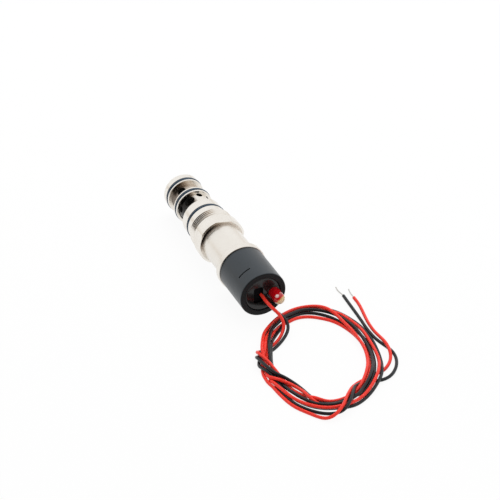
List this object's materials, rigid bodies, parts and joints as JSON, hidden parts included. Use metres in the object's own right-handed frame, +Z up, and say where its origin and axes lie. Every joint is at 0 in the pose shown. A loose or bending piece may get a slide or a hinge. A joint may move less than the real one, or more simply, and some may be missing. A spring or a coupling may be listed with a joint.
{
  "type": "boost control solenoid",
  "caption": "Screw-in cartridge solenoid valve with sealing lands, port grooves, a thread, a flatted collar, a plated barrel, a black end cap with lamp, and flying leads wound into a loop.",
  "frame": {"origin": "on the valve axis, in the plane of the collar's seating face", "axes": "+Y along the valve axis to the nose, leads to -Y, +Z up as the valve lies on its side"},
  "size_m": [0.0584, 0.1584, 0.0216],
  "materials": {
    "nickel_plate": "bright nickel plate on turned steel",
    "plated_alloy": "bright nickel plate on turned light alloy",
    "seal_rubber": "smooth blue-black rubber",
    "face_rubber": "moulded rubber",
    "spring_steel": "drawn wire",
    "brass": "turned",
    "bronze": "turned",
    "tube_brass": "drawn",
    "core_iron": "turned soft iron",
    "copper_wire": "enamelled winding",
    "bobbin_plastic": "moulded",
    "tinned_copper": "tinned",
    "cap_plastic": "satin black moulding",
    "board_laminate": "laminate",
    "resistor_lacquer": "lacquer",
    "potting_resin": "glossy resin",
    "lamp_resin": "clear red resin",
    "red_insulation": "smooth insulation",
    "black_insulation": "smooth insulation"
  },
  "bodies": {
    "housing": {"valve_body": "plated_alloy", "front_o_ring": "seal_rubber", "middle_o_ring": "seal_rubber", "rear_o_ring": "seal_rubber", "nose_seat": "plated_alloy", "return_spring": "spring_steel", "stem_guide": "bronze", "pole_piece": "core_iron", "pole_o_ring": "seal_rubber", "barrel": "nickel_plate", "guide_tube": "tube_brass", "armature_stop": "tube_brass", "bobbin": "bobbin_plastic", "coil_winding": "copper_wire", "flux_washer": "core_iron", "coil_pins": "tinned_copper", "end_cap": "cap_plastic", "circuit_board": "board_laminate", "lamp_resistor": "resistor_lacquer", "potting": "potting_resin", "indicator_lamp": "lamp_resin", "lamp_legs": "tinned_copper", "red_lead": "red_insulation", "black_lead": "black_insulation", "lead_loop": "red_insulation", "red_tail": "red_insulation", "black_tail": "black_insulation", "red_tip": "tinned_copper", "black_tip": "tinned_copper"},
    "armature": {"armature": "core_iron", "push_pin": "spring_steel"},
    "valve_stem": {"valve_stem": "brass", "rear_face_seal": "face_rubber", "front_face_seal": "face_rubber"}
  },
  "joints": [
    {"name": "armature_stroke", "type": "slide", "parent": "housing", "child": "armature", "axis": [0, 1, 0], "range_m": [0, 0.0008]},
    {"name": "valve_stroke", "type": "slide", "parent": "housing", "child": "valve_stem", "axis": [0, 1, 0], "range_m": [0, 0.0008], "stiffness_N_per_m": 800, "springref_m": -0.003, "deforming": ["return_spring"]}
  ],
  "couplings": [
    {"joint": "valve_stroke", "follows": "armature_stroke", "ratio": 1}
  ]
}
